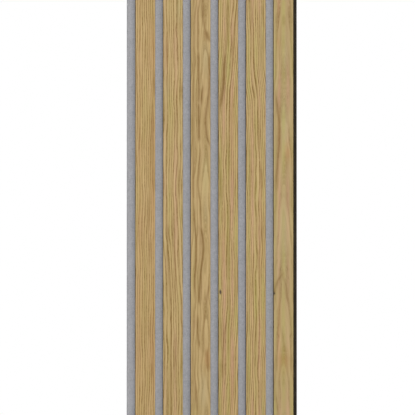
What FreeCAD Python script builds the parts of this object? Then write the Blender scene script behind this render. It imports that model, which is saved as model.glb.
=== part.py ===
import FreeCAD, Part
import os

# Acoustic slat wall panel, in millimetres, +Z up.
# X runs across the panel, Z along the slats, and the slats face -Y.
# The origin is the middle of the back, which lies on the wall at y = 0.

# Panel
PANEL_LENGTH = 610.0
SLAT_COUNT = 6

# Slats: a veneered core each, glued to the felt side by side
SLAT_WIDTH = 28.5
SLAT_GAP = 11.5
CORE_THICKNESS = 11.4
VENEER_THICKNESS = 0.6
VENEER_ARRIS = 0.35

# Felt sheet behind the slats
FELT_THICKNESS = 9.0

# Strip that closes the right-hand edge
STRIP_WIDTH = 5.0
STRIP_ARRIS = 0.5

# Staples driven from the back, through the felt and into the slats
STAPLES_PER_SLAT = 4
STAPLE_END_DISTANCE = 35.0
STAPLE_CROWN = 10.0
STAPLE_WIRE_THICKNESS = 0.7
STAPLE_WIRE_WIDTH = 1.2
STAPLE_BEND = 0.5
STAPLE_BITE = 5.0
STAPLE_SINK = 0.3
STAPLE_CLEARANCE = 0.05

# Worked out from the sizes above
SLAT_PITCH = SLAT_WIDTH + SLAT_GAP
FELT_WIDTH = SLAT_COUNT * SLAT_PITCH
PANEL_WIDTH = FELT_WIDTH + STRIP_WIDTH
LEFT_EDGE = -PANEL_WIDTH / 2
FELT_FRONT = -FELT_THICKNESS
CORE_FRONT = FELT_FRONT - CORE_THICKNESS
PANEL_FRONT = CORE_FRONT - VENEER_THICKNESS
BOTTOM = -PANEL_LENGTH / 2
CROWN_BACK = -STAPLE_SINK
CROWN_FRONT = CROWN_BACK - STAPLE_WIRE_THICKNESS
STAPLE_TIP = FELT_FRONT - STAPLE_BITE


def slat_left(index):
    """X of a slat's left side; a gap's width of felt lies before each slat."""
    return LEFT_EDGE + SLAT_GAP + index * SLAT_PITCH


def full_length_bar(left, width, back, thickness):
    """A square bar as long as the panel, with its back at y = back."""
    corner = FreeCAD.Vector(left, back - thickness, BOTTOM)
    return Part.makeBox(width, thickness, PANEL_LENGTH, corner)


def ease_front_edges(bar, front, radius, wall):
    """Round a bar's two long front edges, by no more than its wall allows."""
    long_edges = []
    for edge in bar.Edges:
        box = edge.BoundBox
        upright = box.ZLength > PANEL_LENGTH / 2
        if upright and abs(box.YMin - front) < wall / 100:
            long_edges.append(edge)
    return bar.makeFillet(min(radius, wall * 0.45), long_edges)


def staple_places():
    """Centre of every staple, as (slat index, x, z)."""
    run = PANEL_LENGTH - 2 * STAPLE_END_DISTANCE
    step = run / (STAPLES_PER_SLAT - 1)
    places = []
    for index in range(SLAT_COUNT):
        middle = slat_left(index) + SLAT_WIDTH / 2
        for row in range(STAPLES_PER_SLAT):
            places.append((index, middle, row * step - run / 2))
    return places


def staple(x, z):
    """One bent wire: a crown across the slat and two chisel-pointed legs."""
    outer = STAPLE_CROWN / 2
    inner = outer - STAPLE_WIRE_THICKNESS
    shoulder = STAPLE_TIP + STAPLE_WIRE_THICKNESS
    outline = [
        (-outer, CROWN_BACK),
        (outer, CROWN_BACK),
        (outer, shoulder),
        (inner, STAPLE_TIP),
        (inner, CROWN_FRONT),
        (-inner, CROWN_FRONT),
        (-inner, STAPLE_TIP),
        (-outer, shoulder),
    ]
    low = z - STAPLE_WIRE_WIDTH / 2
    points = [FreeCAD.Vector(x + u, v, low) for u, v in outline]
    face = Part.Face(Part.makePolygon(points + points[:1]))
    wire = face.extrude(FreeCAD.Vector(0, 0, STAPLE_WIRE_WIDTH))
    bends = []
    for edge in wire.Edges:
        box = edge.BoundBox
        at_back = abs(box.YMin - CROWN_BACK) + abs(box.YMax - CROWN_BACK) < 1e-6
        if at_back and box.ZLength > STAPLE_WIRE_WIDTH / 2:
            bends.append(edge)
    return wire.makeFillet(min(STAPLE_BEND, STAPLE_WIRE_THICKNESS), bends)


def slot(x, z, half_width, back, front):
    """A staple's slot, from y = back to y = front."""
    half_height = STAPLE_WIRE_WIDTH / 2 + STAPLE_CLEARANCE
    corner = FreeCAD.Vector(x - half_width, front, z - half_height)
    return Part.makeBox(2 * half_width, back - front, 2 * half_height, corner)


def leg_slots(x, z, back, front):
    """The slots of a staple's two legs."""
    reach = (STAPLE_CROWN - STAPLE_WIRE_THICKNESS) / 2
    half_width = STAPLE_WIRE_THICKNESS / 2 + STAPLE_CLEARANCE
    return [slot(x + side * reach, z, half_width, back, front) for side in (-1, 1)]


def felt_backing():
    """The felt sheet, pressed in under each staple's crown and pierced by its legs."""
    sheet = full_length_bar(LEFT_EDGE, FELT_WIDTH, 0, FELT_THICKNESS)
    cuts = []
    for _, x, z in staple_places():
        half_crown = STAPLE_CROWN / 2 + STAPLE_CLEARANCE
        cuts.append(slot(x, z, half_crown, 0, CROWN_FRONT))
        cuts.extend(leg_slots(x, z, 0, FELT_FRONT))
    return sheet.cut(cuts)


def slat_core(index):
    """The core of one slat, with the slots that its staples have driven into it."""
    bar = full_length_bar(slat_left(index), SLAT_WIDTH, FELT_FRONT, CORE_THICKNESS)
    cuts = []
    for owner, x, z in staple_places():
        if owner == index:
            cuts.extend(leg_slots(x, z, FELT_FRONT, STAPLE_TIP - STAPLE_CLEARANCE))
    return bar.cut(cuts)


def slat_veneer(index):
    """The oak face of one slat, with its long front edges eased."""
    bar = full_length_bar(slat_left(index), SLAT_WIDTH, CORE_FRONT, VENEER_THICKNESS)
    return ease_front_edges(bar, PANEL_FRONT, VENEER_ARRIS, VENEER_THICKNESS)


def edge_strip():
    """The strip against the felt's right edge and the last slat's side."""
    bar = full_length_bar(LEFT_EDGE + FELT_WIDTH, STRIP_WIDTH, 0, -PANEL_FRONT)
    return ease_front_edges(bar, PANEL_FRONT, STRIP_ARRIS, STRIP_WIDTH)


def back_staples():
    """All the staples, each a solid of its own."""
    return Part.makeCompound([staple(x, z) for _, x, z in staple_places()])


def export(name, shape):
    """Write one node."""
    shape.exportStep(f"parts/{name}.step")


os.makedirs("parts", exist_ok=True)
export("felt_backing", felt_backing())
for slat in range(SLAT_COUNT):
    export(f"slat_core_{slat + 1}", slat_core(slat))
    export(f"slat_veneer_{slat + 1}", slat_veneer(slat))
export("edge_strip", edge_strip())
export("back_staples", back_staples())
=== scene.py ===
"""Looks of the acoustic slat wall panel: oak faces, felt, black fibreboard, staples, light and camera."""

import logging
import math
from dataclasses import dataclass
from enum import Enum
from typing import Callable, ClassVar

import bmesh
import bpy
import numpy as np
from mathutils import Color, Matrix, Vector


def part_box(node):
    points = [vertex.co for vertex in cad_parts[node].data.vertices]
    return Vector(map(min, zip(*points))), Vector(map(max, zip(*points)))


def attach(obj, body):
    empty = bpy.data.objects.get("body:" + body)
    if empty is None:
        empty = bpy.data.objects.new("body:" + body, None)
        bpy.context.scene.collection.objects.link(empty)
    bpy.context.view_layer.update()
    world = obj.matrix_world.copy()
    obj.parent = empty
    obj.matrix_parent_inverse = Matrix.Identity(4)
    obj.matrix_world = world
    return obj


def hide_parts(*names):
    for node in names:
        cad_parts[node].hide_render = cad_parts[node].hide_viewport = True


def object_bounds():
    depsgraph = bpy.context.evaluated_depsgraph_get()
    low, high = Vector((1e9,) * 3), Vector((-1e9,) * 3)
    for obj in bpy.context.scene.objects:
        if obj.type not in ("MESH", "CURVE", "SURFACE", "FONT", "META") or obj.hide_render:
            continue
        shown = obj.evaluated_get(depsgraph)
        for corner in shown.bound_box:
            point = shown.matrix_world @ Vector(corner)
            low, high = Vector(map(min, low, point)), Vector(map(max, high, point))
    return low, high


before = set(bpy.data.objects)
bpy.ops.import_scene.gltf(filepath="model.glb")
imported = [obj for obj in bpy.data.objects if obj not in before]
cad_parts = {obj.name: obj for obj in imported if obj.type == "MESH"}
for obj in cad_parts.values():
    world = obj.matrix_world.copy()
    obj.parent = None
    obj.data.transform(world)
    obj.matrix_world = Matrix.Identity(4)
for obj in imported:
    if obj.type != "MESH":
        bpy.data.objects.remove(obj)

CAD_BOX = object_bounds()
BODY = "root"
MM = 0.001
SLATS = range(1, 1 + sum(name.startswith("slat_core_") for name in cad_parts))
CORES = [f"slat_core_{number}" for number in SLATS]
MOST_PARTS = 100
LONG_EDGE = 5 * MM

log = logging.getLogger("slat_panel")

Colour = tuple[float, float, float]
Points = tuple[tuple[float, float], ...]
Levels = tuple[float, ...]
Socket = bpy.types.NodeSocket
EdgeTest = Callable[[Vector, Vector], bool]


def tone(red: int, green: int, blue: int) -> Colour:
    """Turn a display colour, 0 to 255 in each channel, into the linear colour that a shader takes."""
    return tuple(Color((red / 255, green / 255, blue / 255)).from_srgb_to_scene_linear())


def curve_through(points: Points, at: np.ndarray) -> np.ndarray:
    """Follow a smooth line through points that are sorted by their first number.

    Args:
        points: Pairs of place and value, with the places rising.
        at: Places to read the line at.

    Returns:
        The line's values, level beyond its two ends.
    """
    place = np.array([point[0] for point in points], float)
    value = np.array([point[1] for point in points], float)
    slope = np.gradient(value, place)
    left = np.clip(np.searchsorted(place, at) - 1, 0, len(place) - 2)
    span = place[left + 1] - place[left]
    t = np.clip((at - place[left]) / span, 0, 1)
    start = (2 * t**3 - 3 * t**2 + 1) * value[left] + (t**3 - 2 * t**2 + t) * span * slope[left]
    end = (3 * t**2 - 2 * t**3) * value[left + 1] + (t**3 - t**2) * span * slope[left + 1]
    return start + end


def ease(low: float, high: float, at: np.ndarray) -> np.ndarray:
    """Rise smoothly from 0 at low to 1 at high."""
    t = np.clip((at - low) / (high - low), 0, 1)
    return t * t * (3 - 2 * t)


def direction(azimuth: float, elevation: float) -> Vector:
    """Point from the panel towards a camera or lamp.

    Args:
        azimuth: Angle round the panel, in degrees: 0 is straight in front, and it grows to the right.
        elevation: Angle above the horizon, in degrees.

    Returns:
        A vector of length 1.
    """
    turn = math.radians(azimuth)
    rise = math.radians(elevation)
    level = math.cos(rise)
    return Vector((math.sin(turn) * level, -math.cos(turn) * level, math.sin(rise)))


class Cut(Enum):
    """How a slat's veneer was cut from the log."""

    RIFT = "straight grain"
    CROWN = "arched grain"


@dataclass(frozen=True)
class Streak:
    """A dark line of grain: (up, across) points in mm from the slat's middle, from the bottom up.

    Depth is how dark it is, width is half the line's own, and it fades in and out at its ends.
    """

    halo_share: ClassVar[float] = 0.25
    halo_reach: ClassVar[float] = 2.4

    points: Points
    depth: float = 0.6
    width: float = 1.1
    fade: float = 14.0

    def shade(self, across: np.ndarray, up: np.ndarray) -> np.ndarray:
        """Work out how dark the streak is.

        Args:
            across: Places across the slat, in mm.
            up: Places along the slat, in mm.

        Returns:
            From 0 to the streak's depth.
        """
        low, high = self.points[0][0], self.points[-1][0]
        side = (across - curve_through(self.points, up)) / self.width
        line = (1 - self.halo_share) * np.exp(-side**2)
        halo = self.halo_share * np.exp(-(side / self.halo_reach) ** 2)
        ends = ease(low - self.fade, low + self.fade, up)
        ends = ends * ease(-high - self.fade, -high + self.fade, -up)
        return self.depth * ends * (line + halo)


@dataclass(frozen=True)
class Blush:
    """A soft patch that is warmer, if its amount is above 0, or greener and paler, if below."""

    up: float
    across: float
    reach_up: float
    reach_across: float
    amount: float

    def shade(self, across: np.ndarray, up: np.ndarray) -> np.ndarray:
        """The patch's warmth at each place, given in mm."""
        far = ((across - self.across) / self.reach_across) ** 2 + ((up - self.up) / self.reach_up) ** 2
        return self.amount * np.exp(-far)


@dataclass(frozen=True)
class Knot:
    """A pin knot, in mm from the slat's middle, with a soft rim and grain that bends round it."""

    rim: ClassVar[tuple[float, float]] = (0.6, 1.5)
    bend_reach: ClassVar[float] = 3.0

    up: float
    across: float
    half_width: float
    half_height: float

    def reach(self, across: np.ndarray, up: np.ndarray) -> np.ndarray:
        """Distance from the knot's middle, 1 at its rim."""
        return np.hypot((across - self.across) / self.half_width, (up - self.up) / self.half_height)

    def shade(self, across: np.ndarray, up: np.ndarray) -> np.ndarray:
        """Darkness of the knot, 1 in its middle."""
        return 1 - ease(*self.rim, self.reach(across, up))

    def push(self, across: np.ndarray, up: np.ndarray) -> np.ndarray:
        """How far, in mm, the knot pushes the grain aside."""
        side = np.tanh((across - self.across) / self.half_width)
        return -side * self.half_width * np.exp(-(self.reach(across, up) / self.bend_reach) ** 2)


@dataclass(frozen=True)
class Figure:
    """The grain of one slat's veneer, in mm from the slat's middle.

    The log's pith lies to one side of the slat and a depth behind its face. Ring is the distance from one
    growth ring to the next, which uneven years vary. Contrast is how dark the rings' lines are, and even
    is how dark the wood between them is. The grain wanders in waves and follows the sway, and an arched
    one rises with the trunk's taper. Warmth tints the whole face. Stripes run up it, olive at olive_at and
    at each pitch from there, and pink between.
    """

    slow_wave: ClassVar[tuple[float, float]] = (19.0, 13.0)
    quick_wave: ClassVar[tuple[float, float]] = (7.5, -7.0)
    quick_share: ClassVar[float] = 0.35
    year_swings: ClassVar[Points] = ((2.9, 1.0), (6.3, 0.8))

    cut: Cut
    pith: float
    depth: float
    ring: float
    contrast: float = 1.0
    even: float = 0.0
    wave: float = 0.8
    uneven: float = 0.8
    taper: float = 0.0
    sway: Points = ((-305, 0), (305, 0))
    streaks: tuple[Streak, ...] = ()
    blushes: tuple[Blush, ...] = ()
    knots: tuple[Knot, ...] = ()
    warmth: float = 0.0
    stripe: float = 0.0
    stripe_pitch: float = 11.5
    olive_at: float = 0.0

    def wander(self, across: np.ndarray, up: np.ndarray) -> np.ndarray:
        """Work out how far the grain wanders to the side.

        Args:
            across: Places across the slat, in mm.
            up: Places along the slat, in mm.

        Returns:
            The way to the side, in mm.
        """
        slow = np.sin(up / self.slow_wave[0] + across / self.slow_wave[1] + self.pith)
        quick = np.sin(up / self.quick_wave[0] + across / self.quick_wave[1] + 2 * self.pith)
        return self.wave * (slow + self.quick_share * quick)

    def side(self, across: np.ndarray, up: np.ndarray) -> np.ndarray:
        """Work out how far beside the pith the bent grain lies.

        Args:
            across: Places across the slat, in mm.
            up: Places along the slat, in mm.

        Returns:
            The way from the pith, in mm, above 0 to its right.
        """
        side = across - curve_through(self.sway, up) + self.wander(across, up)
        for knot in self.knots:
            side = side + knot.push(across, up)
        return side - self.pith

    def flow(self, across: np.ndarray, up: np.ndarray) -> np.ndarray:
        """Work out the distance across the growth rings.

        Args:
            across: Places across the slat, in mm.
            up: Places along the slat, in mm.

        Returns:
            The distance from the pith, plus what the trunk's taper adds, in mm.
        """
        reach = np.hypot(self.side(across, up), self.depth)
        if self.cut is Cut.CROWN:
            reach = reach + self.taper * up
        return reach

    def slant(self, across: np.ndarray, up: np.ndarray) -> np.ndarray:
        """How steeply the rings meet the face: 0 right over the pith, and near 1 far beside it."""
        side = self.side(across, up)
        return np.abs(side) / np.hypot(side, self.depth)

    def years(self, flow: np.ndarray) -> np.ndarray:
        """The number of growth rings, wider in some years than in others, whole where each starts."""
        swing = sum(share * np.sin(flow / length) for length, share in self.year_swings)
        return (flow + self.uneven * swing) / self.ring

    def stripes(self, across: np.ndarray) -> np.ndarray:
        """Pink stripes, above 0, and olive ones, below, that run up the slat."""
        return -self.stripe * np.cos(2 * math.pi * (across - self.olive_at) / self.stripe_pitch)


FIGURES: tuple[Figure, ...] = (
    Figure(
        Cut.RIFT, pith=-90, depth=30, ring=3.1, contrast=0.9, wave=0.5, uneven=0.25,
        streaks=(
            Streak(((-245, 9.5), (-200, 11), (-155, 11.5)), 0.4, 1.5),
            Streak(((-75, 6), (-45, 6.5)), 0.5, 1.3),
            Streak(((-30, 4.5), (15, 5)), 0.4, 1.8),
            Streak(((25, 11), (90, 10.5), (150, 10.5)), 0.45, 1.5),
            Streak(((165, 12.8), (195, 12.8)), 0.7, 1.4),
            Streak(((225, 12), (285, 10)), 0.16, 1.7),
            Streak(((-205, 0.5), (-140, 0)), 0.24, 2.2),
            Streak(((-190, 5.5), (-165, 6)), 0.4, 1.0),
        ),
        blushes=(
            Blush(60, 11, 150, 4, 0.7), Blush(-205, 10, 60, 3.5, 0.6), Blush(250, 10, 50, 4, 0.4),
            Blush(0, -8.5, 400, 2.5, 0.4),
        ),
        warmth=0.35,
    ),
    Figure(
        Cut.RIFT, pith=-120, depth=45, ring=3.8, contrast=0.84, wave=0.45,
        sway=((-305, 6.5), (-180, 6.5), (-140, 6), (-80, 3), (-20, 0), (100, 0.5), (305, 0)),
        streaks=(
            Streak(
                ((-305, -3), (-200, -3), (-148, -3), (-119, -4.6), (-90, -6.8), (-61, -9)),
                0.55, 1.2,
            ),
            Streak(((-236, 3.4), (-184, 3.4)), 0.55, 1.0),
            Streak(((-134, 3.4), (-98, 3.4), (-68, 2), (-40, 0), (-9, -1)), 0.6, 1.0),
            Streak(((-54, -4.6), (-21, -9)), 0.55, 1.0),
            Streak(((20, 8), (54, 8.5)), 0.5, 0.9),
            Streak(((20, 10.5), (60, 10.5)), 0.45, 0.9),
            Streak(((112, 4.4), (138, 5)), 0.5, 1.0),
            Streak(((160, 12), (178, 12)), 0.7, 0.9),
            Streak(((205, -9), (245, -9)), 0.55, 1.2),
        ),
        blushes=(
            Blush(220, -9, 60, 3.5, 0.5), Blush(170, 6, 30, 4, 0.4),
            Blush(170, -8, 24, 4, -0.8), Blush(288, 8, 24, 4, -0.8),
        ),
        stripe=0.3, stripe_pitch=14, olive_at=-3.4,
    ),
    Figure(
        Cut.CROWN, pith=7, depth=3.5, ring=5.0, contrast=0.48, even=0.06, wave=1.0, taper=0.032,
        streaks=(
            Streak(((-300, -10.8), (-150, -10.6)), 0.35, 1.3),
            Streak(((-297, -4.4), (-280, -5.6), (-262, -6.4)), 0.7, 1.5),
            Streak(((-255, -9.1), (-207, -9.1)), 0.25, 1.0),
            Streak(((-234, 10.8), (-221, 9.9), (-206, 8.6)), 0.62, 2.6, 6),
            Streak(((-201, -1.9), (-192, -3.1), (-180, -4.4), (-158, -4.4)), 0.8, 1.4, 8),
            Streak(((-212, 5.5), (-195, 4.5), (-177, 4.3), (-156, 5.8), (-141, 7.4)), 0.4, 1.2),
            Streak(((-141, 7.4), (-127, 9.4), (-112, 12.8)), 0.6, 1.4, 8),
            Streak(
                ((-137, -2), (-124, -1.9), (-110, -1.2), (-95, 0.3), (-83, 1.7), (-70, 3.2), (-57, 3.6),
                 (-43, 2.8), (-30, 0.8)),
                1.0, 1.7, 8,
            ),
            Streak(
                ((-124, -8.8), (-99, -8.4), (-85, -7), (-64, -6.8), (-43, -7), (-25, -8.4), (0, -9.5)),
                0.85, 1.3,
            ),
            Streak(
                ((-30, 0.6), (-9, 0.5), (6, -0.4), (21, -2.6), (33, -4), (50, -3.3), (61, -3), (72, -1.4),
                 (82, -0.4)),
                0.6, 1.2,
            ),
            Streak(((11, -10.6), (90, -10.8), (160, -10.2), (230, -10.2), (305, -9.8)), 0.55, 1.3),
            Streak(((97, -2.6), (115, -2.6), (132, -3), (150, -3.1)), 0.95, 1.8, 8),
            Streak(((150, -3.1), (174, -2.4), (192, -3), (205, -3.6), (223, -3.6)), 0.85, 1.5, 8),
            Streak(((224, -3.5), (245, -3.4), (264, -3.6), (290, -4.2)), 0.6, 1.1),
            Streak(((150, 1.2), (162, 1.6), (174, 2.6)), 1.0, 1.4, 8),
            Streak(((-58, 0.5), (-42, 0.2), (-26, -1)), 0.4, 2.4, 8),
            Streak(
                ((90, 13.6), (97, 10.6), (111, 7.9), (127, 7), (140, 8.3), (151, 9.7), (170, 12),
                 (220, 12.2)),
                0.85, 1.6, 8,
            ),
            Streak(((246, 12), (252, 9), (258, 6.2), (268, 4.2), (285, 3.1), (305, 2.4)), 0.75, 1.5, 6),
            Streak(((272, 3.6), (285, 3.1), (297, 2.6)), 0.9, 2.2, 8),
            Streak(((241, 12), (249, 9.5), (257, 6.2)), 0.85, 3.0, 5),
        ),
        blushes=(
            Blush(-219, 9.5, 15, 4.5, 1.6),
            Blush(249, 8, 8, 4, 0.9),
            Blush(215, 6.5, 32, 6, -0.8),
            Blush(45, 6.5, 45, 5, -0.7),
            Blush(-268, 4, 38, 7, -1.0),
            Blush(-10, 7.5, 18, 4, -0.6),
        ),
    ),
    Figure(
        Cut.RIFT, pith=-70, depth=25, ring=2.9, contrast=1.0, wave=0.5,
        sway=((-305, -8), (-240, -6), (-150, -3), (0, -3), (140, -3), (220, 2), (305, 7)),
        streaks=(
            Streak(((-242, -8.5), (-213, -7.8), (-184, -5.6), (-163, -2.7)), 0.75, 1.1),
            Streak(((-191, -10), (-163, -10)), 0.46, 1.3),
            Streak(((-100, -0.5), (0, 0.5), (100, 0.5)), 0.34, 1.5),
            Streak(((11, -10.7), (54, -12), (83, -13.6)), 0.57, 1.3),
            Streak(((90, 4.6), (150, 4.6)), 0.26, 1.1),
            Streak(((-205, 0), (-110, 0.5)), 0.24, 2.0),
            Streak(((145, -11.4), (163, -8.8), (174, -7.2), (199, -6.2), (222, -4.2)), 1.0, 1.9),
            Streak(((222, -3.8), (242, -1.6), (271, -0.8), (300, -0.8)), 0.5, 1.3),
            Streak(((177, 4.6), (213, 6), (235, 6.8), (259, 9), (278, 11), (300, 13)), 0.55, 1.0),
        ),
        blushes=(
            Blush(150, 6, 120, 5, 0.5), Blush(-250, 6, 90, 5, 0.5),
            Blush(-60, -6, 60, 5, 0.4), Blush(200, 1, 30, 5, -0.7),
        ),
        knots=(Knot(-122, -11.5, 1.3, 3.2),),
        warmth=0.1, stripe=0.6,
    ),
    Figure(
        Cut.RIFT, pith=-150, depth=60, ring=3.0, contrast=0.95, wave=0.65,
        sway=((-305, 7), (100, 7), (150, 6), (195, 1), (260, 0), (305, -2)),
        streaks=(
            Streak(((-285, 7), (-245, 6.5)), 0.26, 1.1),
            Streak(((-200, 0), (-163, -0.5)), 0.55, 1.1),
            Streak(((-88, 3.7), (-68, 3.7)), 0.61, 1.1),
            Streak(((-48, 8), (-25, 8)), 0.61, 1.1),
            Streak(((33, 7.3), (62, 7.3)), 0.5, 1.3),
            Streak(((83, 5), (127, 5)), 0.5, 1.1),
            Streak(((150, 3.7), (170, 0.8), (191, -2)), 0.55, 1.1),
            Streak(((199, 10), (228, 9.5), (252, 11)), 0.3, 1.2),
            Streak(((45, -8), (88, -8)), 0.28, 2.0),
            Streak(((206, -3.6), (220, -3.6)), 0.55, 1.1),
            Streak(((259, 12.9), (271, 11), (293, 9.5)), 0.42, 1.2),
            Streak(((264, -6.5), (305, -6.5)), 0.55, 1.0),
        ),
        blushes=(
            Blush(240, 8, 60, 4, -0.5), Blush(-60, 8, 90, 3.5, 0.5), Blush(40, 8, 40, 3, 0.4),
            Blush(-292, 8, 24, 4, -0.7),
        ),
        stripe=0.5, stripe_pitch=10.5,
    ),
    Figure(
        Cut.CROWN, pith=1, depth=6, ring=7.0, contrast=0.5, even=0.18, taper=0.05,
        streaks=(
            Streak(((-300, -8), (-271, -11)), 0.5, 1.4),
            Streak(((-256, 0), (-244, 0), (-232, 0)), 0.35, 1.8, 8),
            Streak(((-230, 1), (-212, 1)), 0.25, 5.0, 8),
            Streak(((-209, 1.5), (-199, 0.7), (-177, -2.2)), 0.46, 1.6),
            Streak(((-122, -13), (-113, -10.9), (-105, -8), (-98, -2.6), (-92, -0.9)), 0.62, 1.8, 5),
            Streak(((-140, 8), (-122, 3.8), (-108, 1.8), (-96, 0)), 0.42, 1.8, 8),
            Streak(((-104, -1.2), (-90, -0.6)), 0.55, 1.9, 5),
            Streak(
                ((30, -9.8), (47, -9.2), (62, -8.4), (76, -7.3), (92, -6), (108, -5.5), (124, -6.4),
                 (138, -8.1), (150, -9.6), (165, -11)),
                0.74, 1.9,
            ),
            Streak(((-5, 8), (45, 6.5), (85, 5.5)), 0.26, 3.4, 12),
            Streak(((225, -7.5), (250, -7.5), (300, -6)), 0.14, 1.6),
            Streak(((264, 0.5), (278, 0.5)), 0.38, 2.2, 5),
            Streak(((262, 4), (285, 5.5)), 0.25, 1.7),
            Streak(((190, 8.5), (235, 8), (300, 8)), 0.16, 3.6),
        ),
        blushes=(
            Blush(250, -7, 50, 3.5, 0.6), Blush(-185, -6.6, 50, 2.6, 1.2), Blush(120, 1, 40, 5, -0.6),
            Blush(-40, 1, 50, 4, -0.7), Blush(220, 3, 30, 4, -0.5),
            Blush(79, 6, 13, 4.5, 1.8), Blush(-221, 1, 14, 8, 1.7), Blush(110, -6.5, 50, 2.5, 1.2),
            Blush(300, -7, 20, 2.5, 1.2), Blush(240, -8, 8, 2.5, 1.0), Blush(30, -7.8, 35, 2.0, 0.9),
        ),
        knots=(Knot(-124, -13.2, 1.1, 1.8),),
        warmth=-0.6, stripe=0.55, stripe_pitch=12.5,
    ),
)


@dataclass(frozen=True)
class Noise:
    """A soft noise: its features to the unit along X, Y and Z, and its octaves beyond the first.

    Rough is the strength of each finer octave, and twist is how far the noise warps itself.
    """

    scale: tuple[float, float, float]
    detail: float = 1
    rough: float = 0.5
    twist: float = 0


@dataclass(frozen=True)
class Span:
    """A range of a number, from low to high, and what the number becomes at its two ends."""

    low: float
    high: float
    to_low: float = 0
    to_high: float = 1


class NodeBench:
    """Adds and joins the nodes of one material or world."""

    def __init__(self, owner: bpy.types.Material | bpy.types.World) -> None:
        """Start the nodes, with the shader that the owner begins with.

        Args:
            owner: The material or world, just made.
        """
        owner.use_nodes = True
        self.owner = owner
        self.tree = owner.node_tree
        shader = "Background" if isinstance(owner, bpy.types.World) else "Principled BSDF"
        self.shader = self.tree.nodes[shader]

    def add(self, kind: str, **settings: object) -> bpy.types.Node:
        """Add a node.

        Args:
            kind: The node's type, without its ShaderNode prefix.
            **settings: Values for the node's own properties.

        Returns:
            The node.
        """
        node = self.tree.nodes.new("ShaderNode" + kind)
        for name, value in settings.items():
            setattr(node, name, value)
        return node

    def feed(self, socket: Socket, value: object) -> None:
        """Join a socket to another one, or set it to a plain value.

        Args:
            socket: The socket that takes the value.
            value: An output socket, or a number, vector or colour.
        """
        if isinstance(value, Socket):
            self.tree.links.new(value, socket)
        else:
            socket.default_value = value

    def dress(self, **sockets: object) -> None:
        """Feed the shader's sockets, each by its name with _ for a space."""
        for name, value in sockets.items():
            self.feed(self.shader.inputs[name.replace("_", " ")], value)

    def place(self) -> Socket:
        """The surface's own place, in metres."""
        return self.add("TexCoord").outputs["Object"]

    def attribute(self, name: str) -> Socket:
        """A number kept on the mesh."""
        return self.add("Attribute", attribute_name=name).outputs["Fac"]

    def seen(self) -> Socket:
        """Tell the rays that show a background from those that light the panel.

        Returns:
            1 for a ray straight from the camera, or by gloss or glass, and 0 for any other.
        """
        rays = self.add("LightPath")
        seen = self.combine("MAXIMUM", rays.outputs["Is Camera Ray"], rays.outputs["Is Glossy Ray"])
        return self.combine("MAXIMUM", seen, rays.outputs["Is Transmission Ray"])

    def turn(self, vector: Socket, angle: float) -> Socket:
        """Turn a place about Y.

        Args:
            vector: The place.
            angle: The turn, in radians.

        Returns:
            The turned place.
        """
        node = self.add("Mapping")
        self.feed(node.inputs["Vector"], vector)
        self.feed(node.inputs["Rotation"], (0, angle, 0))
        return node.outputs["Vector"]

    def noise(self, vector: Socket, noise: Noise) -> Socket:
        """Add soft noise.

        Args:
            vector: Where to read it.
            noise: Its features, octaves and warp.

        Returns:
            A number from 0 to 1.
        """
        place = self.add("Mapping")
        self.feed(place.inputs["Vector"], vector)
        self.feed(place.inputs["Scale"], noise.scale)
        node = self.add("TexNoise")
        self.feed(node.inputs["Vector"], place.outputs["Vector"])
        self.feed(node.inputs["Scale"], 1)
        self.feed(node.inputs["Detail"], noise.detail)
        self.feed(node.inputs["Roughness"], noise.rough)
        self.feed(node.inputs["Distortion"], noise.twist)
        return node.outputs["Fac"]

    def join(self, across: Socket, up: Socket) -> Socket:
        """Make a place from two numbers.

        Args:
            across: The place along X.
            up: The place along Z.

        Returns:
            The place.
        """
        node = self.add("CombineXYZ")
        self.feed(node.inputs["X"], across)
        self.feed(node.inputs["Z"], up)
        return node.outputs["Vector"]

    def combine(self, how: str, first: object, second: object = 0) -> Socket:
        """Combine two numbers, or change one.

        Args:
            how: The Math node's operation.
            first: A socket or a number.
            second: A socket or a number.

        Returns:
            The result.
        """
        node = self.add("Math", operation=how)
        for socket, value in zip(node.inputs, (first, second)):
            self.feed(socket, value)
        return node.outputs["Value"]

    def times(self, first: object, second: object) -> Socket:
        """The product of two numbers."""
        return self.combine("MULTIPLY", first, second)

    def weigh(self, *parts: tuple[Socket, float]) -> Socket:
        """Add numbers up, each with its own weight.

        Args:
            *parts: The numbers with their weights.

        Returns:
            The sum.
        """
        total, *rest = [self.times(value, weight) for value, weight in parts]
        for part in rest:
            total = self.combine("ADD", total, part)
        return total

    def range(self, value: Socket, span: Span) -> Socket:
        """Stretch a number from one range to another, smoothly and held at the ends.

        Args:
            value: The number.
            span: The two ranges.

        Returns:
            The stretched number.
        """
        node = self.add("MapRange", interpolation_type="SMOOTHSTEP")
        self.feed(node.inputs["Value"], value)
        self.feed(node.inputs["From Min"], span.low)
        self.feed(node.inputs["From Max"], span.high)
        self.feed(node.inputs["To Min"], span.to_low)
        self.feed(node.inputs["To Max"], span.to_high)
        return node.outputs["Result"]

    def ramp(self, value: Socket, *stops: tuple[float, Colour]) -> Socket:
        """Turn a number into a colour.

        Args:
            value: The number, from 0 to 1.
            *stops: Places along the ramp with their colours.

        Returns:
            The colour.
        """
        node = self.add("ValToRGB")
        self.feed(node.inputs["Fac"], value)
        elements = node.color_ramp.elements
        while len(elements) < len(stops):
            elements.new(stops[-1][0])
        for element, (place, colour) in zip(elements, stops):
            element.position = place
            element.color = (*colour, 1)
        return node.outputs["Color"]

    def blend(self, share: object, first: object, second: object) -> Socket:
        """Mix two colours.

        Args:
            share: How much of the second, a socket or a number.
            first: A socket or a colour.
            second: A socket or a colour.

        Returns:
            The mixed colour.
        """
        node = self.add("Mix", data_type="RGBA")
        sockets = {socket.identifier: socket for socket in (*node.inputs, *node.outputs)}
        self.feed(sockets["Factor_Float"], share)
        for name, value in (("A_Color", first), ("B_Color", second)):
            self.feed(sockets[name], value if isinstance(value, Socket) else (*value, 1))
        return sockets["Result_Color"]

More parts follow.
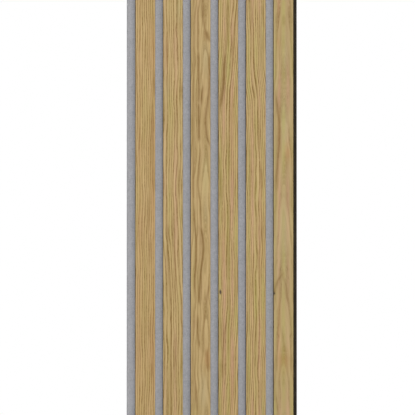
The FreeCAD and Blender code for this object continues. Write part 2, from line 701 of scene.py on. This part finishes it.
    def bump(self, height: Socket, distance: float) -> Socket:
        """Raise the surface.

        Args:
            height: The height at each place.
            distance: Metres for each unit of height.

        Returns:
            The normal that the shader takes.
        """
        node = self.add("Bump")
        self.feed(node.inputs["Height"], height)
        self.feed(node.inputs["Distance"], distance)
        return node.outputs["Normal"]


@dataclass(frozen=True)
class OakFinish:
    """Matt oiled oak: grain that follows the growth rings, pores, streaks and pin knots.

    It reads the numbers that OakVeneers keeps on each veneer. Its noises have features to the millimetre
    across the rings, and to the metre along the slat.
    """

    deep: Colour = tone(113, 86, 24)
    middle: Colour = tone(165, 137, 82)
    pale: Colour = tone(197, 169, 115)
    streak: Colour = tone(114, 79, 2)
    warm: Colour = tone(178, 130, 76)
    green: Colour = tone(174, 157, 115)
    pink: Colour = tone(196, 147, 122)
    olive: Colour = tone(162, 157, 72)
    knot: Colour = tone(40, 14, 0)
    pore: Colour = tone(104, 79, 30)
    ring_sway: Noise = Noise((0.11, 1, 18.0), 2)
    sway_years: Span = Span(0.2, 0.8, -0.3, 0.3)
    early_rise: Span = Span(0.0, 0.10)
    early_fall: Span = Span(0.10, 0.70, 1, 0)
    ring_strength: Noise = Noise((0.71, 1, 22.0))
    strength_share: Span = Span(0.30, 0.64, 0.5, 1.0)
    dashes: Noise = Noise((4.2, 1, 240.0), 2, 0.6)
    dash_share: Span = Span(0.36, 0.62, 0.45, 1.35)
    bands: Noise = Noise((0.16, 1, 6.0), 2)
    fibres: Noise = Noise((2.6, 1, 40.0), 4, 0.7)
    threads: Noise = Noise((0.75, 1, 14.0))
    band_share: float = 0.14
    fibre_share: float = 0.41
    thread_share: float = 0.45
    wood_levels: Levels = (0.36, 0.64)
    line_share: float = 0.95
    warm_share: Span = Span(0.0, 1.4, 0, 0.5)
    green_share: Span = Span(0.0, -1.4, 0, 0.6)
    clouds: Noise = Noise((0.10, 1, 11.0), 2)
    cloud_tint: Span = Span(0.3, 0.7, -0.4, 0.4)
    pink_share: Span = Span(0.0, 1.2, 0, 0.5)
    olive_share: Span = Span(0.0, -1.2, 0, 0.5)
    streak_share: Span = Span(0.3, 0.65, 1.05, 0.6)
    pores: Noise = Noise((3.9, 1, 85.0))
    pore_edge: Span = Span(0.56, 0.66)
    pore_share: Span = Span(0.0, 0.7, 0.10, 0.75)
    pore_slant: Span = Span(0.0, 0.8)
    flecks: Noise = Noise((1.6, 1, 60.0))
    fleck_share: Span = Span(0.62, 0.78, 0, 0.15)
    roughness: Span = Span(0.0, 1.0, 0.52, 0.68)
    gloss: float = 0.25
    line_height: float = 0.5
    relief: float = 0.08 * MM

    def ring_lines(self, bench: NodeBench, flow: Socket, up: Socket) -> Socket:
        """Draw the dark early wood at the start of each growth ring, stronger in some rings than others.

        Args:
            bench: The material's nodes.
            flow: Distance across the rings and along the slat.
            up: The place along the slat, in metres.

        Returns:
            From 0 beside a line to about 1 on it, broken into dashes.
        """
        sway = bench.range(bench.noise(flow, self.ring_sway), self.sway_years)
        year = bench.combine("ADD", bench.attribute("ring"), sway)
        turn = bench.combine("FRACT", year)
        line = bench.times(bench.range(turn, self.early_rise), bench.range(turn, self.early_fall))
        each = bench.join(bench.combine("FLOOR", year), up)
        strength = bench.range(bench.noise(each, self.ring_strength), self.strength_share)
        dashes = bench.range(bench.noise(flow, self.dashes), self.dash_share)
        return bench.times(bench.times(line, strength), dashes)

    def wood(self, bench: NodeBench, flow: Socket, fibres: Socket, line: Socket) -> Socket:
        """Colour the wood between and on the ring lines, with its warm, green, pink and olive parts.

        Args:
            bench: The material's nodes.
            flow: Distance across the rings and along the slat.
            fibres: The fine fibres' noise.
            line: Darkness of the ring lines.

        Returns:
            The colour.
        """
        bands = bench.noise(flow, self.bands)
        threads = bench.noise(flow, self.threads)
        level = bench.weigh(
            (bands, self.band_share), (fibres, self.fibre_share), (threads, self.thread_share),
        )
        colour = bench.ramp(level, *zip(self.wood_levels, (self.middle, self.pale)))
        colour = bench.blend(bench.times(line, self.line_share), colour, self.deep)
        colour = bench.blend(bench.attribute("even"), colour, self.deep)
        warmth = bench.attribute("warmth")
        colour = bench.blend(bench.range(warmth, self.warm_share), colour, self.warm)
        colour = bench.blend(bench.range(warmth, self.green_share), colour, self.green)
        clouds = bench.range(bench.noise(flow, self.clouds), self.cloud_tint)
        tint = bench.combine("ADD", bench.attribute("tint"), clouds)
        colour = bench.blend(bench.range(tint, self.pink_share), colour, self.pink)
        return bench.blend(bench.range(tint, self.olive_share), colour, self.olive)

    def make(self) -> bpy.types.Material:
        """Build the material.

        Returns:
            The material, which all the veneers share.
        """
        bench = NodeBench(bpy.data.materials.new("oak_veneer"))
        split = bench.add("SeparateXYZ")
        bench.feed(split.inputs["Vector"], bench.place())
        up = split.outputs["Z"]
        flow = bench.join(bench.attribute("flow"), up)
        line = bench.times(self.ring_lines(bench, flow, up), bench.attribute("contrast"))
        fibres = bench.noise(flow, self.fibres)
        colour = self.wood(bench, flow, fibres, line)

        streak = bench.times(bench.attribute("streak"), bench.range(fibres, self.streak_share))
        colour = bench.blend(streak, colour, self.streak)
        dark = bench.combine("MAXIMUM", line, streak)
        pores = bench.range(bench.noise(flow, self.pores), self.pore_edge)
        pores = bench.times(pores, bench.range(dark, self.pore_share))
        pores = bench.times(pores, bench.range(bench.attribute("slant"), self.pore_slant))
        colour = bench.blend(pores, colour, self.pore)
        flecks = bench.range(bench.noise(flow, self.flecks), self.fleck_share)
        colour = bench.blend(flecks, colour, self.pale)
        colour = bench.blend(bench.attribute("knot"), colour, self.knot)
        bench.dress(
            Base_Color=colour,
            Roughness=bench.range(line, self.roughness),
            Specular_IOR_Level=self.gloss,
            Normal=bench.bump(bench.weigh((line, self.line_height), (pores, 1)), -self.relief),
        )
        return bench.owner


@dataclass(frozen=True)
class FeltFinish:
    """Grey pressed polyester felt: light and dark fibres that cross, matted in soft clouds.

    Each layer of strands has the way it lies, in radians from upright, and whether it is light.
    """

    dark: Colour = tone(140, 140, 143)
    middle: Colour = tone(174, 174, 177)
    light: Colour = tone(196, 195, 199)
    clouds: Noise = Noise((140.0, 140.0, 140.0), 3, 0.6)
    matting: Noise = Noise((620.0, 620.0, 620.0), 4, 0.65, 1.2)
    cloud_share: float = 0.28
    matting_share: float = 0.72
    levels: Levels = (0.27, 0.50, 0.73)
    strand: Noise = Noise((1000.0, 1000.0, 170.0), 2, 0.55, 0.8)
    strand_level: float = 0.5
    strand_edge: Span = Span(0.0, 0.022, 1, 0)
    strand_share: float = 0.55
    strand_height: float = 0.15
    layers: tuple[tuple[float, bool], ...] = (
        (0.3, True), (1.9, False), (2.5, True), (1.2, True), (0.8, False),
    )
    rough: float = 0.95
    gloss: float = 0.15
    nap: float = 0.12
    nap_rough: float = 0.6
    relief: float = 0.7 * MM

    def strands(self, bench: NodeBench, place: Socket, angle: float) -> Socket:
        """Draw single long fibres that lie one way: the lines of equal height of a stretched noise.

        Args:
            bench: The material's nodes.
            place: The surface's own place.
            angle: The way they lie, in radians from upright.

        Returns:
            1 along a fibre, 0 beside it.
        """
        hills = bench.noise(bench.turn(place, angle), self.strand)
        away = bench.combine("ABSOLUTE", bench.combine("SUBTRACT", hills, self.strand_level))
        return bench.range(away, self.strand_edge)

    def make(self) -> bpy.types.Material:
        """Build the material.

        Returns:
            The material.
        """
        bench = NodeBench(bpy.data.materials.new("grey_felt"))
        place = bench.place()
        clouds = bench.noise(place, self.clouds)
        matting = bench.noise(place, self.matting)
        height = bench.weigh((matting, self.matting_share), (clouds, self.cloud_share))
        colour = bench.ramp(height, *zip(self.levels, (self.dark, self.middle, self.light)))
        for angle, is_light in self.layers:
            strands = self.strands(bench, place, angle)
            share = bench.times(strands, self.strand_share)
            colour = bench.blend(share, colour, self.light if is_light else self.dark)
            height = bench.combine("ADD", height, bench.times(strands, self.strand_height))
        bench.dress(
            Base_Color=colour,
            Roughness=self.rough,
            Specular_IOR_Level=self.gloss,
            Sheen_Weight=self.nap,
            Sheen_Roughness=self.nap_rough,
            Normal=bench.bump(height, self.relief),
        )
        return bench.owner


@dataclass(frozen=True)
class FibreboardFinish:
    """Black-dyed fibreboard: fine fibres that took the dye unevenly, and saw marks along its length."""

    name: str
    dye: Colour = tone(24, 20, 13)
    bare: Colour = tone(64, 58, 46)
    fibres: Noise = Noise((1500.0, 1500.0, 700.0), 4, 0.7, 0.8)
    patches: Noise = Noise((60.0, 60.0, 60.0), 2)
    fibre_share: float = 0.7
    patch_share: float = 0.3
    levels: Levels = (0.42, 0.72)
    roughness: Span = Span(0.3, 0.7, 0.58, 0.80)
    gloss: float = 0.08
    saw_marks: Noise = Noise((40.0, 40.0, 900.0))
    saw_height: float = 0.6
    relief: float = 0.12 * MM

    def make(self) -> bpy.types.Material:
        """Build the material.

        Returns:
            The material.
        """
        bench = NodeBench(bpy.data.materials.new(self.name))
        place = bench.place()
        fibres = bench.noise(place, self.fibres)
        patches = bench.noise(place, self.patches)
        saw_marks = bench.noise(place, self.saw_marks)
        level = bench.weigh((fibres, self.fibre_share), (patches, self.patch_share))
        bench.dress(
            Base_Color=bench.ramp(level, *zip(self.levels, (self.dye, self.bare))),
            Roughness=bench.range(level, self.roughness),
            Specular_IOR_Level=self.gloss,
            Normal=bench.bump(bench.weigh((fibres, 1), (saw_marks, self.saw_height)), self.relief),
        )
        return bench.owner


@dataclass(frozen=True)
class WireFinish:
    """Galvanised staple wire, drawn along its length."""

    bright: Colour = tone(212, 212, 216)
    dull: Colour = tone(148, 148, 153)
    spangle: Noise = Noise((900.0, 900.0, 900.0), 2, 0.6)
    levels: Levels = (0.35, 0.65)
    draw_lines: Noise = Noise((300.0, 6000.0, 9000.0), 3, 0.6)
    roughness: Span = Span(0.3, 0.7, 0.28, 0.50)
    relief: float = 0.03 * MM

    def make(self) -> bpy.types.Material:
        """Build the material.

        Returns:
            The material.
        """
        bench = NodeBench(bpy.data.materials.new("staple_wire"))
        place = bench.place()
        spangle = bench.noise(place, self.spangle)
        draw_lines = bench.noise(place, self.draw_lines)
        bench.dress(
            Base_Color=bench.ramp(spangle, *zip(self.levels, (self.dull, self.bright))),
            Roughness=bench.range(draw_lines, self.roughness),
            Metallic=1.0,
            Normal=bench.bump(draw_lines, self.relief),
        )
        return bench.owner


def select_edges(chosen: EdgeTest) -> None:
    """Select edges of the mesh that is in edit mode.

    Args:
        chosen: Takes an edge's two ends and says whether it is wanted.
    """
    bpy.ops.mesh.select_mode(type="EDGE")
    bpy.ops.mesh.select_all(action="DESELECT")
    mesh = bmesh.from_edit_mesh(bpy.context.edit_object.data)
    for edge in mesh.edges:
        if chosen(edge.verts[0].co, edge.verts[1].co):
            edge.select_set(True)
    bmesh.update_edit_mesh(bpy.context.edit_object.data)


def divide(chosen: EdgeTest, parts: int) -> None:
    """Cut edges of the mesh that is in edit mode into equal parts.

    One subdivide makes about 100 parts at most, so a finer division takes two rounds, and may come out a
    little finer than asked.

    Args:
        chosen: Says whether an edge is wanted; it also holds for the pieces of the first round.
        parts: How many parts each edge becomes.
    """
    rounds = 1 if parts <= MOST_PARTS else 2
    each = math.ceil(parts ** (1 / rounds))
    for _ in range(rounds):
        select_edges(chosen)
        bpy.ops.mesh.subdivide(number_cuts=each - 1)


def start_block(name: str, low: Vector, high: Vector) -> bpy.types.Object:
    """Add a block between two corners, with its place in its mesh.

    Args:
        name: The piece's name.
        low: Its lowest corner.
        high: Its highest corner.

    Returns:
        The block, selected and active.
    """
    bpy.ops.object.select_all(action="DESELECT")
    bpy.ops.mesh.primitive_cube_add(size=1, location=(low + high) / 2)
    block = bpy.context.active_object
    block.name = name
    block.data.name = name
    block.scale = high - low
    bpy.ops.object.transform_apply(location=True, rotation=True, scale=True)
    return block


def places(mesh: bpy.types.Mesh) -> np.ndarray:
    """Read where a mesh's vertices are.

    Args:
        mesh: The mesh.

    Returns:
        One row for each vertex, in metres.
    """
    flat = np.empty(len(mesh.vertices) * 3, np.float32)
    mesh.vertices.foreach_get("co", flat)
    return flat.reshape(-1, 3).astype(float)


def move_to(mesh: bpy.types.Mesh, points: np.ndarray) -> None:
    """Put a mesh's vertices at new places, one row each."""
    mesh.vertices.foreach_set("co", points.astype(np.float32).ravel())
    mesh.update()


def keep_numbers(mesh: bpy.types.Mesh, name: str, values: np.ndarray | float) -> None:
    """Keep a number for each vertex, or one for all, for a material to read."""
    numbers = np.broadcast_to(values, len(mesh.vertices)).astype(np.float32)
    mesh.attributes.new(name, "FLOAT", "POINT").data.foreach_set("value", numbers)


@dataclass
class OakVeneers:
    """The oak faces of the slats: one blank, cut once and copied, each with its own figure.

    The log step moves each slat's grain on, so that its noise is never that of another slat.
    """

    finish: OakFinish = OakFinish()
    arris: float = 0.27 * MM
    arris_steps: int = 3
    flush: float = 0.03 * MM
    row_height: float = 2.0 * MM
    column_width: float = 0.5 * MM
    groove: float = 0.05 * MM
    log_step: float = 211.0
    smooth_angle: float = math.radians(40)

    def blank(self) -> bpy.types.Object:
        """Cut the first slat's veneer: a thin block with eased edges and a fine grid on its face.

        Returns:
            The veneer.
        """
        low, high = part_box("slat_veneer_1")
        middle = (low + high) / 2
        size = high - low
        block = start_block("oak_face_1", low, high)
        bpy.ops.object.mode_set(mode="EDIT")
        select_edges(lambda a, b: abs(a.z - b.z) > LONG_EDGE and max(a.y, b.y) < middle.y)
        bpy.ops.mesh.bevel(offset=self.arris, segments=self.arris_steps, affect="EDGES")
        divide(lambda a, b: abs(a.z - b.z) > LONG_EDGE, round(size.z / self.row_height))
        face = low.y + self.flush
        columns = round(size.x / self.column_width)
        divide(lambda a, b: max(a.y, b.y) < face and abs(a.x - b.x) > LONG_EDGE, columns)
        bpy.ops.object.mode_set(mode="OBJECT")
        bpy.ops.object.shade_smooth_by_angle(angle=self.smooth_angle)
        return block

    @staticmethod
    def copy_to(blank: bpy.types.Object, number: int) -> bpy.types.Object:
        """Copy the blank, mesh and all, to another slat.

        Args:
            blank: The first slat's veneer.
            number: The slat's number.

        Returns:
            The copy, with its place in its mesh.
        """
        face = blank.copy()
        face.data = blank.data.copy()
        face.name = f"oak_face_{number}"
        face.data.name = face.name
        bpy.context.scene.collection.objects.link(face)
        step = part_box(f"slat_veneer_{number}")[0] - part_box("slat_veneer_1")[0]
        face.data.transform(Matrix.Translation(step))
        return face

    @staticmethod
    def darkest(marks: tuple[Streak | Knot, ...], across: np.ndarray, up: np.ndarray) -> np.ndarray:
        """The darkest of the marks at each place, 0 where there is none."""
        return np.max([np.zeros(len(across)), *(mark.shade(across, up) for mark in marks)], axis=0)

    def grain(self, face: bpy.types.Object, number: int) -> None:
        """Give a veneer its figure, and sink its dark grain a little.

        Args:
            face: The veneer.
            number: The slat's number.
        """
        figure = FIGURES[(number - 1) % len(FIGURES)]
        low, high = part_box(f"slat_veneer_{number}")
        points = places(face.data)
        across = (points[:, 0] - (low.x + high.x) / 2) / MM
        up = points[:, 2] / MM
        flow = figure.flow(across, up) + self.log_step * number
        streak = self.darkest(figure.streaks, across, up)
        knot = self.darkest(figure.knots, across, up)
        numbers = {
            "flow": flow,
            "ring": figure.years(flow),
            "slant": figure.slant(across, up),
            "contrast": figure.contrast,
            "even": figure.even,
            "streak": streak,
            "knot": knot,
            "warmth": figure.warmth + sum(blush.shade(across, up) for blush in figure.blushes),
            "tint": figure.stripes(across),
        }
        for name, values in numbers.items():
            keep_numbers(face.data, name, values)
        on_face = points[:, 1] < low.y + self.flush
        points[on_face, 1] += self.groove * np.maximum(streak, knot)[on_face]
        move_to(face.data, points)

    def build(self) -> list[bpy.types.Object]:
        """Make and dress all the veneers.

        Returns:
            The veneers, from left to right.
        """
        material = self.finish.make()
        blank = self.blank()
        faces = [blank, *(self.copy_to(blank, number) for number in SLATS[1:])]
        for number, face in zip(SLATS, faces):
            self.grain(face, number)
            face.data.materials.append(material)
            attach(face, BODY)
            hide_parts(f"slat_veneer_{number}")
        return faces


@dataclass
class FeltSheet:
    """The felt behind the slats: soft at its cut edges, a little uneven, drawn in at each staple."""

    finish: FeltFinish = FeltFinish()
    edge: float = 0.5 * MM
    edge_steps: int = 2
    grid: float = 2.5 * MM
    uneven: float = 0.18 * MM
    cloud: float = 9.0 * MM
    cloud_depth: int = 2
    pit: float = 1.0 * MM
    pit_reach: tuple[float, float] = (9.0 * MM, 5.5 * MM)
    pit_powers: tuple[int, int] = (4, 2)
    weld: float = 0.01 * MM

    def build(self) -> list[bpy.types.Object]:
        """Make and dress the felt.

        Returns:
            The felt, alone.
        """
        low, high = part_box("felt_backing")
        size = high - low
        sheet = start_block("felt_sheet", low, high)
        bpy.ops.object.mode_set(mode="EDIT")
        bpy.ops.mesh.select_all(action="SELECT")
        bpy.ops.mesh.bevel(offset=self.edge, segments=self.edge_steps, affect="EDGES")
        divide(lambda a, b: abs(a.z - b.z) > LONG_EDGE, round(size.z / self.grid))
        divide(lambda a, b: abs(a.x - b.x) > LONG_EDGE, round(size.x / self.grid))
        divide(lambda a, b: abs(a.y - b.y) > LONG_EDGE, round(size.y / self.grid))
        bpy.ops.object.mode_set(mode="OBJECT")
        self.roughen(sheet)
        self.draw_in(sheet, high.y)
        bpy.ops.object.shade_smooth()
        sheet.data.materials.append(self.finish.make())
        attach(sheet, BODY)
        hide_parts("felt_backing")
        return [sheet]

    def roughen(self, sheet: bpy.types.Object) -> None:
        """Sink the felt's surface unevenly, in soft clouds.

        Args:
            sheet: The felt, selected and active.
        """
        clouds = bpy.data.textures.new("felt_clouds", "CLOUDS")
        clouds.noise_scale = self.cloud
        clouds.noise_depth = self.cloud_depth
        uneven = sheet.modifiers.new("uneven", "DISPLACE")
        uneven.texture = clouds
        uneven.texture_coords = "LOCAL"
        uneven.strength = self.uneven
        uneven.mid_level = 1.0
        bpy.ops.object.modifier_apply(modifier=uneven.name)

    def staples(self) -> list[Vector]:
        """Find the staples in their node, where each is a solid by itself.

        Returns:
            The middle of each staple, as seen from behind.
        """
        mesh = bmesh.new()
        mesh.from_mesh(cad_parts["back_staples"].data)
        bmesh.ops.remove_doubles(mesh, verts=mesh.verts, dist=self.weld)
        middles = []
        unseen = set(mesh.verts)
        while unseen:
            staple = [unseen.pop()]
            for vertex in staple:
                joined = {edge.other_vert(vertex) for edge in vertex.link_edges} & unseen
                unseen -= joined
                staple.extend(joined)
            xs = [vertex.co.x for vertex in staple]
            zs = [vertex.co.z for vertex in staple]
            middles.append(Vector(((min(xs) + max(xs)) / 2, 0, (min(zs) + max(zs)) / 2)))
        mesh.free()
        return middles

    def draw_in(self, sheet: bpy.types.Object, back: float) -> None:
        """Press a soft pit into the felt's back at each staple.

        Args:
            sheet: The felt.
            back: Y of its back.
        """
        points = places(sheet.data)
        on_back = points[:, 1] > back - 2 * self.uneven
        for middle in self.staples():
            far = ((points[:, 0] - middle.x) / self.pit_reach[0]) ** self.pit_powers[0]
            far += ((points[:, 2] - middle.z) / self.pit_reach[1]) ** self.pit_powers[1]
            points[on_back, 1] -= (self.pit * np.exp(-far))[on_back]
        move_to(sheet.data, points)


@dataclass
class CarriedNodes:
    """The CAD pieces whose shape is right: they keep it and take a finish."""

    core: FibreboardFinish = FibreboardFinish("black_core")
    strip: FibreboardFinish = FibreboardFinish("black_strip")
    wire: WireFinish = WireFinish()

    def dress(self) -> list[bpy.types.Object]:
        """Put each finish on its nodes.

        Returns:
            The dressed nodes.
        """
        dressed = []
        wanted = (self.core, CORES), (self.strip, ["edge_strip"]), (self.wire, ["back_staples"])
        for finish, names in wanted:
            material = finish.make()
            for name in names:
                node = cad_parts[name]
                for slot in node.material_slots:
                    slot.material = material
                dressed.append(node)
        return dressed


@dataclass(frozen=True)
class Lamp:
    """A square lamp that faces the panel.

    Its angles are in degrees, its distance from the panel's middle and its side in metres, and its share is
    how much of a colour's written level it gives on a surface that faces it.
    """

    name: str
    azimuth: float
    elevation: float
    distance: float
    side: float
    share: float

    def hang(self) -> None:
        """Hang the lamp, out of the camera's sight."""
        back = direction(self.azimuth, self.elevation)
        data = bpy.data.lights.new(self.name, "AREA")
        data.size = self.side
        # A lamp gives energy / (pi * distance**2) on a surface that faces it, and white shows that / pi.
        data.energy = self.share * math.pi**2 * self.distance**2
        lamp = bpy.data.objects.new(self.name, data)
        lamp.location = back * self.distance
        lamp.rotation_euler = (-back).to_track_quat("-Z", "Y").to_euler()
        lamp.visible_camera = False
        bpy.context.scene.collection.objects.link(lamp)


@dataclass
class Studio:
    """White studio: a pale floor, soft lamps and a long lens."""

    photo_side: int = 415
    first_slat_px: float = 135.55
    px_per_mm: float = 0.6908
    azimuth: float = -4.0
    elevation: float = -1.7
    distance: float = 10.0
    far_clip: float = 100.0
    sensor: float = 36.0
    ambient: float = 0.10
    floor_reach: float = 3.0
    floor_sides: int = 96
    floor_fade: Span = Span(0.5, 1.3)
    floor_bounce: Colour = (0.4, 0.4, 0.4)
    floor_rough: float = 0.9
    white: Colour = (1.0, 1.0, 1.0)
    black: Colour = (0.0, 0.0, 0.0)
    lamps: tuple[Lamp, ...] = (
        Lamp("key_lamp", -4, 8, 6.0, 1.0, 0.605),
        Lamp("fill_lamp", 15, 10, 6.0, 1.8, 0.25),
        Lamp("back_lamp", 205, 35, 4.0, 1.6, 0.80),
        Lamp("side_lamp", 95, 30, 4.0, 1.6, 0.35),
    )

    def camera(self) -> None:
        """Place the camera so that the first slat's left edge falls where the photograph has it."""
        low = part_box("slat_veneer_1")[0]
        left = self.photo_side / 2 - self.first_slat_px
        target = Vector((low.x + left / self.px_per_mm * MM, low.y, 0))
        back = direction(self.azimuth, self.elevation)
        seen = self.photo_side / self.px_per_mm * math.cos(math.radians(self.azimuth)) * MM
        data = bpy.data.cameras.new("camera")
        data.sensor_width = self.sensor
        data.lens = self.sensor * self.distance / seen
        data.clip_end = self.far_clip
        camera = bpy.data.objects.new("camera", data)
        camera.location = target + back * self.distance
        camera.rotation_euler = (-back).to_track_quat("-Z", "Y").to_euler()
        bpy.context.scene.collection.objects.link(camera)
        bpy.context.scene.camera = camera

    def floor(self) -> None:
        """Lay a pale floor under the panel's lower end, which fades to plain white further out."""
        bpy.ops.object.select_all(action="DESELECT")
        bpy.ops.mesh.primitive_circle_add(
            vertices=self.floor_sides, radius=self.floor_reach, fill_type="NGON",
            location=(0, 0, CAD_BOX[0].z),
        )
        floor = bpy.context.active_object
        floor.name = "floor"
        bench = NodeBench(bpy.data.materials.new("pale_floor"))
        seen = bench.seen()
        away = bench.add("VectorMath", operation="LENGTH")
        bench.feed(away.inputs[0], bench.place())
        fade = bench.range(away.outputs["Value"], self.floor_fade)
        paint = bench.blend(fade, self.white, self.black)
        bench.dress(
            Base_Color=bench.blend(seen, self.floor_bounce, paint),
            Emission_Color=(*self.white, 1),
            Emission_Strength=bench.times(seen, fade),
            Roughness=self.floor_rough,
            Specular_IOR_Level=0.0,
        )
        floor.data.materials.append(bench.owner)

    def world(self) -> None:
        """Hang white behind everything, with a low even light on the panel."""
        bench = NodeBench(bpy.data.worlds.new("studio"))
        strength = bench.range(bench.seen(), Span(0, 1, self.ambient, 1))
        bench.dress(Color=(*self.white, 1), Strength=strength)
        bpy.context.scene.world = bench.owner

    def build(self) -> None:
        """Set the studio up."""
        bpy.context.scene.view_settings.view_transform = "Standard"
        self.world()
        self.floor()
        for lamp in self.lamps:
            lamp.hang()
        self.camera()


def main() -> None:
    """Build the panel's pieces in order, report each one, and set the studio up."""
    logging.basicConfig(level=logging.INFO, format="%(name)s: %(message)s")
    pieces = [*FeltSheet().build(), *OakVeneers().build(), *CarriedNodes().dress()]
    for piece in pieces:
        log.info("%s: %s, %d faces", piece.name, piece.active_material.name, len(piece.data.polygons))
    Studio().build()


if __name__ == "__main__":
    main()
